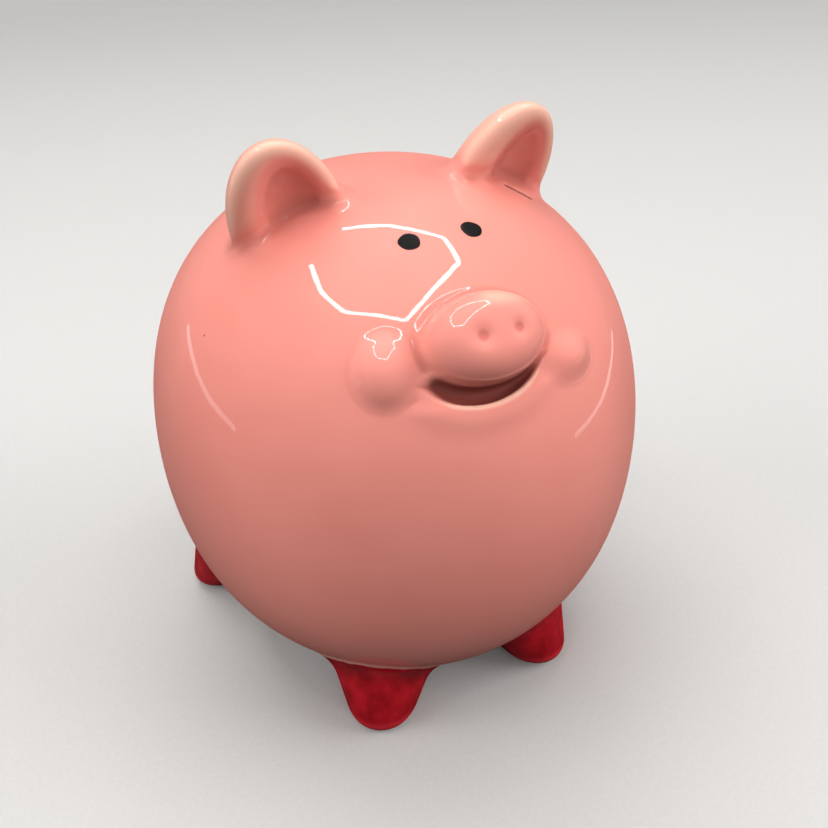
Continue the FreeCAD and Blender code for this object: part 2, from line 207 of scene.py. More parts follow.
MOUTH = tilted((-2.4, -54.5, 109.9), 37)
MOUTH_HALF_WIDTH = 14.2
MOUTH_RISE, MOUTH_SAG = 2.0, 6.8  # the upper edge over the corners, the lower edge under them
MOUTH_DEPTH = 3.4
MOUTH_SHALLOWING = 0.6  # the share of the depth that is lost at the corners
LIP_OUT = 2.9  # from the mouth's lower edge to the ridge of the lip
LIP_PROUD = 0.55
LIP_WIDTH = 2.8
LIP_FADE = (-0.74, -0.98)  # from the lip's ends to its full height, down the mouth's lower arc
CHEEKS = (
    (tilted((-18.8, -43.4, 107.1), 33, -27), (9.0, 10.2, 11.0), 1.3),
    (tilted((16.4, -48.1, 103.7), 30, 21), (9.3, 6.6, 9.0), 2.0),
)  # frame, half sizes and fillet


def arc_circle(half_width, sag):
    """Radius of an arc of this sag, and how far its centre is from the line of its ends."""
    radius = (half_width**2 + sag**2) / (2 * sag)
    return radius, radius - sag


def mouth(p):
    """The lens-shaped hollow between two arcs, shallower towards its corners."""
    u, v, w = MOUTH.local(p)
    upper_radius, upper_centre = arc_circle(MOUTH_HALF_WIDTH, MOUTH_RISE)
    lower_radius, lower_centre = arc_circle(MOUTH_HALF_WIDTH, MOUTH_SAG)
    under_upper = np.hypot(u, v + upper_centre) - upper_radius
    over_lower = np.hypot(u, v - lower_centre) - lower_radius
    smile = smooth_max(under_upper, over_lower, blend=0.6)
    floor_depth = MOUTH_DEPTH * (1 - MOUTH_SHALLOWING * (u / MOUTH_HALF_WIDTH) ** 2)
    return smooth_max(smile, -w - floor_depth, blend=2.4)


def lip(p):
    """How far the lower lip stands out: a soft ridge that fades towards the corners."""
    u, v, w = MOUTH.local(p)
    radius, centre = arc_circle(MOUTH_HALF_WIDTH, MOUTH_SAG)
    across = np.hypot(u, v - centre) - radius - LIP_OUT
    fade = smooth_step(*LIP_FADE, (v - centre) / radius)
    return LIP_PROUD * np.exp(-((across / LIP_WIDTH) ** 2)) * fade * smooth_step(-12, -4, w)


def face(p):
    """The body's outside with the lip, the cheeks, the mouth and the snout."""
    outside = form(p) - lip(p)
    for axes, half, fillet in CHEEKS:
        outside = smooth_min(outside, ellipsoid(axes.local(p), half), fillet)
    outside = smooth_max(outside, -mouth(p), blend=1.2)
    above = SNOUT.local(p)[1]
    under, over = SNOUT_FILLETS
    return smooth_min(outside, snout(p), under + (over - under) * smooth_step(-7, 1, above))


def cavity(p):
    """The hollow inside the casting, with its flat floor."""
    return smooth_max(form(p, -WALL), BELLY_Z + WALL - p[2], blend=5.0)


def from_slot_line(x, y):
    """How far a place is, seen from above, from the middle line of the money slot."""
    along = np.clip(y, SLOT_FRONT + SLOT_RADIUS, SLOT_BACK - SLOT_RADIUS)
    return np.hypot(x, y - along)


SLIP_GAP = (np.array([27.9, -10.4, 129.9]), np.array([32.0, -13.6, 127.4]))
SLIP_GAP_RADIUS = 0.85
SLIP_GAP_EDGE = 0.8


def slip_gap(p):
    """The short open crease at the front of the left ear's root."""
    return from_line(p, *SLIP_GAP)[0] - SLIP_GAP_RADIUS


def casting(p):
    """The hollow casting, open at the money slot and at the belly."""
    x, y, z = p
    shell = smooth_max(face(p), BELLY_Z - z, blend=1.5)
    shell = smooth_max(shell, -cavity(p), blend=1.0)
    hole = smooth_max(np.hypot(x, y) - HOLE_RADIUS, z - BELLY_Z - 2 * WALL, blend=1.0)
    shell = smooth_max(shell, -hole, blend=1.0)
    shell = smooth_max(shell, -slip_gap(p), SLIP_GAP_EDGE)
    slot = np.maximum(from_slot_line(x, y) - SLOT_RADIUS, CENTRE_Z - z)
    return smooth_max(shell, -slot, blend=2.2)


EAR_ROOT = np.array([25.2, -6.0, 127.0])
EAR_AXIS = np.array([7.4, -10.0, 25.2])
EAR_HALF = (13.2, 22.7)
EAR_WAIST = 2.0  # how far above the root the ear is widest
EAR_TURN = math.radians(7)
EAR_BACK, EAR_FRONT = 9.5, 5.0
SCOOP_HALF = (9.8, 24.0, 8.6)
SCOOP_SHIFT = {1: (2.0, -1.5, 5.5), -1: (-2.2, -1.5, 5.5)}  # from the ear's root to its centre
SCOOP_RISE = 0.19  # how fast the scoop gets shallower towards the root
SCOOP_RIM = 4.6


def ear_axes():
    """The left ear's frame: across to its outer edge, up its length, ahead to its hollow front."""
    backward = np.array([-math.sin(EAR_TURN), math.cos(EAR_TURN), 0])
    across = np.cross(backward, EAR_AXIS)
    return Axes(EAR_ROOT, across, EAR_AXIS)


EAR = ear_axes()


def leaf(p, side):
    """An ear's outer form. The right ear is the left one's mirror image."""
    u, v, w = EAR.local((side * p[0], p[1], p[2]))
    depth = EAR_BACK + (EAR_FRONT - EAR_BACK) * smooth_step(-4, 4, w)
    return ellipsoid((u, v - EAR_WAIST, w), (EAR_HALF[0], EAR_HALF[1], depth))


def ear(p, side):
    """A leaf with a scoop out of its front that gets shallower towards the root."""
    u, v, w = EAR.local((side * p[0], p[1], p[2]))
    out, up, ahead = SCOOP_SHIFT[side]
    rising = SCOOP_RISE * smooth_max(15 - v, 0, blend=14)
    scoop = ellipsoid((u - out, v - up, w - ahead - rising), SCOOP_HALF)
    return smooth_max(leaf(p, side), -scoop, SCOOP_RIM)


FEET = {
    "foot_front_left": (34.5, 46.3, 0.40),
    "foot_front_right": (-31.0, 46.4, 0.40),
    "foot_rear_left": (125, 61.2, 0.34),
    "foot_rear_right": (-125, 61.2, 0.34),
}  # angle round from the front, reach from the body's axis, flare of the leg
SOLE_RADIUS = 8.0
SOLE_EDGE = 4.6
LEG_LEAN = math.tan(math.radians(30))
LEG_TOP = 33.0  # where a leg has run into the body
LEG_SHOULDER = 1.6  # how steeply its top is sloped off
LEG_SCALE = 0.86  # brings the leaning cone's field near to a true distance


def foot(p, angle, reach, flare):
    """A leg that leans in and widens upward, with a rounded sole."""
    x, y, z = p
    turn = math.radians(angle)
    middle = reach - z * LEG_LEAN
    away = np.hypot(x - middle * math.sin(turn), y + middle * math.cos(turn))
    leg = (away - SOLE_RADIUS - flare * z) * LEG_SCALE
    leg = smooth_max(leg, form(p) + LEG_SHOULDER * (z - LEG_TOP), blend=5)
    return smooth_max(leg, -z, SOLE_EDGE)


TAIL_RADIUS, TAIL_PITCH, TAIL_TURNS, TAIL_THICK = 5.0, 6.2, 1.35, 2.3
TAIL_START = np.array([0, 61.5, 80.0])
TAIL_STEPS = 48
TAIL_THINNING = (1.08, 0.3)  # thickness at the root, and how much of it is lost by the tip


def tail(p):
    """The rolled coil, thinning towards its tip."""
    turn = np.linspace(0, 2 * math.pi * TAIL_TURNS, TAIL_STEPS)
    line = np.stack(
        [
            TAIL_START[0] + TAIL_RADIUS * np.cos(turn),
            TAIL_START[1] + TAIL_PITCH * turn / (2 * math.pi),
            TAIL_START[2] + TAIL_RADIUS * np.sin(turn),
        ],
        axis=1,
    )
    at_root, lost = TAIL_THINNING
    nearest = np.inf
    for number in range(TAIL_STEPS - 1):
        away, along = from_line(p, line[number], line[number + 1])
        thick = TAIL_THICK * (at_root - lost * (number + along) / TAIL_STEPS)
        nearest = np.minimum(nearest, away - thick)
    return nearest


BLENDS = {"ear": 4.0, "foot": 5.5, "tail": 2.4}
BLEND_REACH = 1.05  # how far from a luted piece its fillet ends, in blends
SKIN_DROP = 0.1  # how far a luted piece's feathered edge runs under the casting's surface
SKIRT = 1.6


def stuck_on(shape, blend):
    """The part of shape, with its fillet, that stands out of the casting, and a hidden skirt."""

    def field(p):
        body = form(p)
        outside = smooth_min(body + SKIN_DROP, shape(p), blend)
        near = shape(p) - blend * BLEND_REACH
        piece = smooth_max(np.maximum(outside, -body - SKIRT), near, blend=0.3)
        return smooth_max(piece, -slip_gap(p), SLIP_GAP_EDGE)

    return field


def all_ceramic(p):
    """The casting's outside, the ears and the feet together, for the directions of the glaze."""
    whole = face(p)
    for side in (-1, 1):
        whole = smooth_min(whole, ear(p, side), BLENDS["ear"])
    for place in FEET.values():
        whole = smooth_min(whole, foot(p, *place), BLENDS["foot"])
    return smooth_max(whole, -slip_gap(p), SLIP_GAP_EDGE)


def with_tail(p):
    """The body's form and the tail together, for the directions of the tail's glaze."""
    return smooth_min(form(p), tail(p), BLENDS["tail"])


# ------------------------------------------------------------------- the mesher


def spans(low, high, step, fine=None):
    """Grid lines from low to high, closer together over the fine stretch (low, high, step)."""
    if fine is None:
        return np.linspace(low, high, int(math.ceil((high - low) / step)) + 1)
    first, last, close = fine
    parts = [spans(low, first, step)[:-1], spans(first, last, close), spans(last, high, step)[1:]]
    return np.concatenate(parts)


def net(field, lines):
    """A surface net: one vertex for each cell that the field's zero surface crosses."""
    x, y, z = lines
    grid = np.meshgrid(x, y, z, indexing="ij")
    value = np.empty(grid[0].shape)
    for i in range(len(x)):
        value[i] = field([g[i] for g in grid])
    inside = value < 0
    cells = [len(line) - 1 for line in lines]

    def cell_number(i, j, k):
        return (i * cells[1] + j) * cells[2] + k

    crossings, quads = [], []
    for axis in range(3):
        b, c = (axis + 1) % 3, (axis + 2) % 3
        low = [slice(None)] * 3
        high = [slice(None)] * 3
        low[axis], high[axis] = slice(None, -1), slice(1, None)
        at = np.argwhere(inside[tuple(low)] != inside[tuple(high)])
        after = at.copy()
        after[:, axis] += 1
        v0, v1 = value[tuple(at.T)], value[tuple(after.T)]
        share = v0 / (v0 - v1)
        point = np.stack([lines[i][at[:, i]] for i in range(3)], axis=1)
        point[:, axis] += share * (lines[axis][after[:, axis]] - lines[axis][at[:, axis]])
        ring = []
        for db, dc in ((-1, -1), (0, -1), (0, 0), (-1, 0)):
            cell = at.copy()
            cell[:, b] += db
            cell[:, c] += dc
            ring.append(cell_number(*cell.T))
            crossings.append((ring[-1], point))
        ring = np.stack(ring, axis=1)
        ring[v0 > 0] = ring[v0 > 0][:, ::-1]
        quads.append(ring)
    numbers = np.concatenate([c[0] for c in crossings])
    points = np.concatenate([c[1] for c in crossings])
    used, place = np.unique(numbers, return_inverse=True)
    count = np.bincount(place)
    vertices = np.stack([np.bincount(place, points[:, i]) / count for i in range(3)], axis=1)
    faces = np.searchsorted(used, np.concatenate(quads))
    return vertices, faces


def gradient(field, vertices, step=0.02):
    """How fast the field grows at each vertex along x, y and z."""
    slope = np.empty_like(vertices)
    for axis in range(3):
        ahead, behind = vertices.copy(), vertices.copy()
        ahead[:, axis] += step
        behind[:, axis] -= step
        slope[:, axis] = (field(ahead.T) - field(behind.T)) / (2 * step)
    return slope


def settle(field, vertices, rounds=3, longest=0.5, flattest=0.05):
    """Moves vertices onto the field's zero surface, by up to the longest step in each round."""
    for _ in range(rounds):
        slope = gradient(field, vertices)
        steep = np.maximum((slope**2).sum(axis=1), flattest)
        shift = np.clip(field(vertices.T) / steep, -longest, longest)
        vertices = vertices - shift[:, None] * slope
    return vertices


def directions(field, vertices, step=0.05):
    """The direction square to the field's surface at each vertex."""
    slope = gradient(field, vertices, step)
    return slope / np.maximum(np.linalg.norm(slope, axis=1, keepdims=True), TINY)


def curvature(field, vertices, reach):
    """How sharply the surface turns over reach: above 0 on an edge, under 0 in a crease."""
    total = np.zeros(len(vertices))
    for axis in range(3):
        ahead, behind = vertices.copy(), vertices.copy()
        ahead[:, axis] += reach
        behind[:, axis] -= reach
        total += directions(field, ahead)[:, axis] - directions(field, behind)[:, axis]
    return total / (2 * reach)


def mesh_object(name, vertices, faces, normals, marks=None):
    """A Blender object of this mesh, with named values on its vertices."""
    mesh = bpy.data.meshes.new(name)
    mesh.vertices.add(len(vertices))
    mesh.vertices.foreach_set("co", ((vertices + BODY_AXIS) * MM).astype(np.float32).ravel())
    corners = faces.shape[1]
    mesh.loops.add(faces.size)
    mesh.loops.foreach_set("vertex_index", faces.astype(np.int32).ravel())
    mesh.polygons.add(len(faces))
    mesh.polygons.foreach_set("loop_start", np.arange(0, faces.size, corners, dtype=np.int32))
    mesh.update(calc_edges=True)
    mesh.validate()
    mesh.shade_smooth()
    for mark, values in (marks or {}).items():
        attribute = mesh.attributes.new(mark, "FLOAT", "POINT")
        attribute.data.foreach_set("value", values.astype(np.float32))
    mesh.normals_split_custom_set_from_vertices(normals.astype(np.float32))
    made = bpy.data.objects.new(name, mesh)
    bpy.context.scene.collection.objects.link(made)
    return made


GLAZE_REACH = 0.35  # how near to the outside a vertex counts as glazed
EDGE_REACH = 0.7  # the reach over which the curvature of the glaze is taken
SLOT_LIP = 1.2  # how far round the money slot its walls' rounding goes
SLOT_GLAZE_END = 0.6  # the glaze on the slot's walls stops this far outside the cavity


def in_slot(vertices):
    """Whether each vertex is on the walls of the money slot, where the glaze has run in."""
    x, y, z = vertices.T
    near = from_slot_line(x, y) < SLOT_RADIUS + SLOT_LIP
    return near & (z > CENTRE_Z) & (form(vertices.T) > SLOT_GLAZE_END - WALL)


def ceramic(name, field, lines, glaze_field, **more_marks):
    """A ceramic piece: its field's mesh, with the values that its glaze is mixed by."""
    vertices, faces = net(field, lines)
    vertices = settle(field, vertices)
    own = directions(field, vertices)
    shared = directions(glaze_field, vertices)
    outer = np.abs(glaze_field(vertices.T)) < GLAZE_REACH
    normals = np.where(outer[:, None], shared, own)
    marks = {
        "edge": np.where(outer, curvature(glaze_field, vertices, EDGE_REACH), 0.0),
        "glazed": (outer | in_slot(vertices)).astype(float),
        "over_body": form(vertices.T),
    }
    for mark, value_at in more_marks.items():
        marks[mark] = value_at(vertices)
    return mesh_object(name, vertices, faces, normals, marks)


# ----------------------------------------------------------------- node helpers


class Nodes:
    """The node tree of a material or a world, with short calls for the nodes used here."""

    def __init__(self, owner, shader):
        owner.use_nodes = True
        self.owner = owner
        self.tree = owner.node_tree
        self.shader = self.tree.nodes[shader]

    def node(self, kind, **settings):
        """A new node of this kind."""
        made = self.tree.nodes.new(kind)
        for key, value in settings.items():
            setattr(made, key, value)
        return made

    def link(self, value, socket):
        """Joins an output to an input, or sets the input to a plain value."""
        if isinstance(value, bpy.types.NodeSocket):
            self.tree.links.new(value, socket)
        else:
            socket.default_value = value

    def set(self, **inputs):
        """Sets the shader's inputs, named with _ for a space."""
        for name, value in inputs.items():
            self.link(value, self.shader.inputs[name.replace("_", " ")])

    def math(self, operation, a, b=0.0):
        """The result of one sum."""
        made = self.node("ShaderNodeMath", operation=operation)
        self.link(a, made.inputs[0])
        self.link(b, made.inputs[1])
        return made.outputs[0]

    def scaled(self, value, factor):
        """The value times the factor."""
        return self.math("MULTIPLY", value, factor)

    def mark(self, name):
        """A value that the mesh carries on its vertices."""
        return self.node("ShaderNodeAttribute", attribute_name=name).outputs["Fac"]

    def place(self):
        """The place on the object, in metres."""
        return self.node("ShaderNodeTexCoord").outputs["Object"]

    def upward(self, vector):
        """The vector's third number."""
        split = self.node("ShaderNodeSeparateXYZ")
        self.link(vector, split.inputs[0])
        return split.outputs["Z"]

    def noise(self, size_mm, detail=2.0, rough=0.5, stretch=(1, 1, 1)):
        """Cloudy noise from 0 to 1, with blots about this many millimetres across."""
        mapping = self.node("ShaderNodeMapping")
        mapping.inputs["Scale"].default_value = stretch
        self.link(self.place(), mapping.inputs["Vector"])
        made = self.node("ShaderNodeTexNoise")
        self.link(mapping.outputs[0], made.inputs["Vector"])
        made.inputs["Scale"].default_value = 1 / (size_mm * MM)
        made.inputs["Detail"].default_value = detail
        made.inputs["Roughness"].default_value = rough
        return made.outputs["Fac"]

    def ramp(self, value, low, high, start=0.0, end=1.0, shape="LINEAR"):
        """From start up to low to end from high on."""
        made = self.node("ShaderNodeMapRange", interpolation_type=shape)
        self.link(value, made.inputs["Value"])
        self.link(low, made.inputs["From Min"])
        self.link(high, made.inputs["From Max"])
        self.link(start, made.inputs["To Min"])
        self.link(end, made.inputs["To Max"])
        return made.outputs["Result"]

    def between(self, value, low, high):
        """0 up to low, 1 from high on, and smooth between them."""
        return self.ramp(value, low, high, shape="SMOOTHSTEP")

    def choose(self, share, a, b):
        """The plain value a, turning into b as share goes from 0 to 1."""
        made = self.node("ShaderNodeMix")
        for number, value in ((0, share), (2, a), (3, b)):
            self.link(value, made.inputs[number])
        return made.outputs[0]

    def mix(self, share, a, b):
        """The colour a, turning into b as share goes from 0 to 1."""
        made = self.node("ShaderNodeMix", data_type="RGBA")
        self.link(share, made.inputs[0])
        for colour, socket in ((a, made.inputs[6]), (b, made.inputs[7])):
            self.link((*colour, 1) if isinstance(colour, tuple) else colour, socket)
        return made.outputs[2]

    def channel(self, colour, number):
        """One of a colour's three numbers."""
        split = self.node("ShaderNodeSeparateColor")
        self.link(colour, split.inputs[0])
        return split.outputs[number]

    def specks(self, spacing_mm, radius_mm, share):
        """Small round specks, in this share of the cells of a grid with this spacing."""
        cells = self.node("ShaderNodeTexVoronoi")
        cells.inputs["Scale"].default_value = 1 / (spacing_mm * MM)
        self.link(self.place(), cells.inputs["Vector"])
        chosen = self.math("LESS_THAN", self.channel(cells.outputs["Color"], 0), share)
        radius = self.scaled(self.channel(cells.outputs["Color"], 1), radius_mm / spacing_mm)
        inside = self.math("LESS_THAN", cells.outputs["Distance"], radius)
        return self.math("MULTIPLY", chosen, inside)

    def bump(self, height, depth_mm, normal=None):
        """Surface directions with relief of this depth."""
        made = self.node("ShaderNodeBump")
        made.inputs["Strength"].default_value = 1.0
        made.inputs["Distance"].default_value = depth_mm * MM
        self.link(height, made.inputs["Height"])
        if normal is not None:
            self.link(normal, made.inputs["Normal"])
        return made.outputs[0]

    def coat(self):
        """The weight of the clear coat, which fades where the surface is seen nearly edge-on."""
        facing = self.node("ShaderNodeLayerWeight").outputs["Facing"]
        return self.math("SUBTRACT", 1.0, self.scaled(self.between(facing, 0.6, 0.98), 0.85))

    def use_on(self, piece):
        """Makes this the only material of the piece."""
        piece.data.materials.clear()
        piece.data.materials.append(self.owner)


def new_material(name):
    """The nodes of a new material."""
    return Nodes(bpy.data.materials.new(name), "Principled BSDF")


# -------------------------------------------------------------------- materials

CLAY, CLAY_STAIN = (0.80, 0.72, 0.62), (0.66, 0.57, 0.47)
PINK, PINK_CLOUD = (0.81, 0.28, 0.23), (0.765, 0.252, 0.205)
# The cream is thin glaze, and a painted highlight on the snout's top and the ears.
# The dark rose is glaze that pools in creases, with painted shade there.
# The near-black rose is painted shade for the mouth, the crease at the ear's root and the ear
# hollows.
PINK_THIN_AND_LIT, PINK_POOLED_AND_SHADED, PINK_PAINTED_SHADE = (0.88, 0.56, 0.42), (0.52, 0.12, 0.09), (0.2, 0.045, 0.035)
PINK_BY_FEET = (0.84, 0.42, 0.35)
SPECK = (0.09, 0.03, 0.02)
# The lightest red is thin glaze on edges, with a painted highlight.
RED_DARK, RED, RED_THIN_AND_LIT = (0.22, 0.001, 0.005), (0.58, 0.01, 0.022), (0.78, 0.035, 0.05)
BLACK, BLACK_BRUSHED = (0.003, 0.003, 0.003), (0.010, 0.009, 0.009)
RUBBER, RUBBER_STAIN = (0.66, 0.64, 0.58), (0.56, 0.54, 0.48)


def glaze_wobble(nodes):
    """The slow swell and the fine ripple of a poured glaze."""
    swell = nodes.bump(nodes.noise(16, 1.5), 0.12)
    return nodes.bump(nodes.noise(2.6, 1.0), 0.006, swell)


def pour(nodes, colour, glazed, specular):
    """Puts the coloured glaze on where glazed is 1, and leaves bare clay where it is 0."""
    clay = nodes.mix(nodes.noise(9, 4), CLAY, CLAY_STAIN)
    nodes.set(
        Base_Color=nodes.mix(glazed, clay, colour),
        Roughness=nodes.math("SUBTRACT", 0.85, nodes.scaled(glazed, 0.5)),
        Specular_IOR_Level=specular,
        Coat_Weight=nodes.math("MULTIPLY", glazed, nodes.coat()),
        Coat_Roughness=0.025,
        Coat_IOR=1.5,
        Normal=glaze_wobble(nodes),
        Coat_Normal=glaze_wobble(nodes),
    )


def pink_glaze():
    """Salmon pink, cream where it is thin and as a painted highlight, darker where it pools and as
    painted shade in creases, much darker as painted shade in the mouth and hollows, with a few dark
    specks.
    """
    nodes = new_material("pink_glaze")
    colour = nodes.mix(nodes.between(nodes.noise(38, 3), 0.3, 0.7), PINK, PINK_CLOUD)
    edge = nodes.mark("edge")
    # Cream where the glaze is thin on edges, and a painted highlight on the snout's top and the
    # ears.
    thin = nodes.between(nodes.math("ADD", edge, nodes.mark("worn")), 0.25, 0.8)
    colour = nodes.mix(nodes.scaled(thin, 0.65), colour, PINK_THIN_AND_LIT)
    # Darker in creases: glaze that pools there, and painted shade.
    pooled_and_shaded = nodes.between(nodes.scaled(edge, -1), 0.05, 0.5)
    colour = nodes.mix(nodes.scaled(pooled_and_shaded, 0.6), colour, PINK_POOLED_AND_SHADED)
    # Painted shade in the mouth, the crease and the ear hollows, with a little glaze that pools
    # there.
    colour = nodes.mix(nodes.mark("deep"), colour, PINK_PAINTED_SHADE)
    colour = nodes.mix(nodes.specks(17, 0.24, 0.22), colour, SPECK)
    pour(nodes, colour, nodes.mark("glazed"), specular=0.1)
    return nodes


def red_glaze():
    """Brushed dark red, lighter on its edges as thin glaze and a painted highlight, that ends in an
    uneven line at the pink, with wiped soles.
    """
    nodes = new_material("red_glaze")
    brush = nodes.noise(5, 2.5, stretch=(1, 1, 0.6))
    colour = nodes.mix(nodes.between(brush, 0.2, 0.9), RED_DARK, RED)
    # Lighter red on convex edges: thin glaze, and a painted highlight on the sides.
    thin = nodes.between(nodes.mark("edge"), 0.08, 0.35)
    colour = nodes.mix(nodes.scaled(thin, 0.5), colour, RED_THIN_AND_LIT)
    uneven = nodes.scaled(nodes.noise(3.5, 2), 0.5)
    over_body = nodes.math("SUBTRACT", nodes.mark("over_body"), uneven)
    colour = nodes.mix(nodes.between(over_body, 0.22, -0.02), colour, PINK_BY_FEET)
    height = nodes.scaled(nodes.upward(nodes.place()), 1 / MM)
    wiped = nodes.math("ADD", height, nodes.scaled(nodes.noise(2.5, 2), 0.7))
    pour(nodes, colour, nodes.between(wiped, 0.75, 0.95), specular=0.0)
    return nodes


def black_enamel():
    """Gloss black with faint brush marks."""
    nodes = new_material("black_enamel")
    brush = nodes.noise(0.9, 3, 0.6, stretch=(1, 0.3, 1))
    nodes.set(
        Base_Color=nodes.mix(brush, BLACK, BLACK_BRUSHED),
        Roughness=0.3,
        Specular_IOR_Level=0.1,
        Coat_Weight=nodes.scaled(nodes.coat(), 0.6),
        Coat_Roughness=0.03,
        Normal=nodes.bump(brush, 0.01),
    )
    return nodes


def stopper_rubber():
    """Soft off-white rubber with a fine grain."""
    nodes = new_material("stopper_rubber")
    grain = nodes.noise(0.5, 4, 0.6)
    nodes.set(
        Base_Color=nodes.mix(nodes.noise(7, 3), RUBBER, RUBBER_STAIN),
        Roughness=nodes.between(grain, -0.6, 1.6),
        Subsurface_Weight=0.25,
        Subsurface_Radius=(0.003, 0.0024, 0.0018),
        Normal=nodes.bump(grain, 0.02),
    )
    return nodes


# ----------------------------------------------------------------------- pieces


def show(piece, node, material):
    """Puts the piece in a CAD node's place, on the node's body."""
    material.use_on(piece)
    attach(piece, frame["nodes"][node]["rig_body"])
    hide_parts(node)


STEP = 1.3
CLOSE = 0.5
MARGIN = 3.0
FINE_LOW, FINE_HIGH = (-30, -HALF_Y, 98), (34, -8, 132)  # the face and the left ear's root


def around(low, high, step, margin):
    """Grid lines round a box, with a margin."""
    return [spans(low[i] - margin, high[i] + margin, step) for i in range(3)]


def snout_thin_and_lit(vertices):
    """How pale the upper rim of the snout is: thin glaze, and a painted highlight on top."""
    u, v, w = SNOUT.local(vertices.T)
    return 0.35 * smooth_step(2, 7, v) * smooth_step(3, 7, w) * smooth_step(-5, 2, u)


def gap_shade(vertices):
    """Painted shade: 1 on the walls of the crease at the left ear's root."""
    return smooth_step(0.5, 0.0, slip_gap(vertices.T))


def mouth_shade(vertices):
    """Painted shade, with a little glaze that pools there: 1 inside the mouth and the crease, 0 on
    the face.
    """
    under = smooth_step(0.1, -1.6, form(vertices.T))
    inside = under * smooth_step(1.0, 0.2, mouth(vertices.T))
    return np.maximum(inside, gap_shade(vertices))


def ear_hollow_shade(vertices, side):
    """Painted shade, with a little glaze that pools there: from 0 on an ear's rim to under 1 far
    down in its hollow.
    """
    hollow = 0.12 * smooth_step(-0.5, -7.0, leaf(vertices.T, side))
    return np.maximum(hollow, gap_shade(vertices))


# Strength of the painted highlight and thin glaze on each ear, left and right.
EAR_THIN_AND_LIT = {1: 0.44, -1: 0.32}


def ear_thin_and_lit(vertices, side):
    """How pale an ear's outside and rim are, clear of the body: thin glaze, and a painted highlight
    that is stronger on the left ear.
    """
    outside = smooth_step(-3.5, -0.5, leaf(vertices.T, side))
    return EAR_THIN_AND_LIT[side] * outside * smooth_step(0, 8, form(vertices.T))


def build_body(pink):
    """The casting, with closer grid lines over its face."""
    low, high = (-HALF_X, -HALF_Y, BELLY_Z), (HALF_X, HALF_Y, BODY_HIGH[2])
    lines = [
        spans(low[i] - MARGIN, high[i] + MARGIN, STEP, (FINE_LOW[i], FINE_HIGH[i], CLOSE))
        for i in range(3)
    ]
    piece = ceramic(
        "body_shell_glazed", casting, lines, all_ceramic, deep=mouth_shade, worn=snout_thin_and_lit
    )
    show(piece, "body_shell", pink)


def build_ears(pink):
    """Both ears, with their fillets."""
    for name, side in (("left", 1), ("right", -1)):
        node = f"ear_{name}"
        low, high = node_box(node)
        piece = ceramic(
            f"{node}_glazed",
            stuck_on(lambda p, side=side: ear(p, side), BLENDS["ear"]),
            around(low, high, CLOSE + 0.05, margin=5),
            all_ceramic,
            deep=lambda vertices, side=side: ear_hollow_shade(vertices, side),
            worn=lambda vertices, side=side: ear_thin_and_lit(vertices, side),
        )
        show(piece, node, pink)


def build_feet(red):
    """The four feet, with their fillets."""
    for node, place in FEET.items():
        low, high = node_box(node)
        low[2] = 0
        field = stuck_on(lambda p, place=place: foot(p, *place), BLENDS["foot"])
        lines = around(low, high, CLOSE + 0.2, margin=7)
        piece = ceramic(f"{node}_glazed", field, lines, all_ceramic)
        show(piece, node, red)


def build_tail(pink):
    """The tail, with its fillet."""
    low, high = node_box("tail")
    field = stuck_on(tail, BLENDS["tail"])
    piece = ceramic("tail_glazed", field, around(low, high, CLOSE, margin=4), with_tail)
    show(piece, "tail", pink)


EYE_RADIUS = 2.4
EYE_THREE_LOBES, EYE_FIVE_LOBES = 0.05, 0.03  # how far the brushed outline is from round
ENAMEL_PROUD = 0.24


def eye_dot(low, high):
    """The field of a thin, slightly uneven disc on the body's surface, in the middle of a box."""
    middle = (low + high) / 2
    square = directions(form, middle[None, :])[0]
    across = unit(np.cross((0, 1, 0), square))
    dot = Axes(middle, across, np.cross(square, across))

    def enamel(p):
        u, v, _ = dot.local(p)
        angle = np.arctan2(v, u)
        radius = EYE_RADIUS + EYE_THREE_LOBES * np.sin(3 * angle + middle[0])
        radius = radius + EYE_FIVE_LOBES * np.sin(5 * angle)
        return smooth_max(np.abs(form(p)) - ENAMEL_PROUD, np.hypot(u, v) - radius, blend=0.35)

    return enamel


def plain_piece(name, field, lines):
    """A piece that needs no values for a glaze."""
    vertices, faces = net(field, lines)
    vertices = settle(field, vertices)
    return mesh_object(name, vertices, faces, directions(field, vertices))


def build_eyes(black):
    """Both dots of enamel."""
    for node in ("eye_left", "eye_right"):
        low, high = node_box(node)
        lines = around(low, high, 0.14, margin=0.8)
        piece = plain_piece(f"{node}_dot", eye_dot(low, high), lines)
        show(piece, node, black)


BARREL_CLEAR = 0.4  # between the barrel and the hole
BARREL_TAPER, BARREL_TAPER_FROM = 0.12, 5.0
RIB_HEIGHTS = (1.54, 3.78)  # over the flange's seat
RIB_IN, RIB_RADIUS = 0.65, 0.58  # from the hole's wall to a rib's middle, and the rib's size
CUP_RADIUS, CUP_DEPTH = 11.6, 4.0
GRIP_RADIUS, GRIP_TOP = 9.5, 9.2
BAR_REACH, BAR_HALF_WIDTH, BAR_HALF_HEIGHT = 10.5, 1.8, 1.3


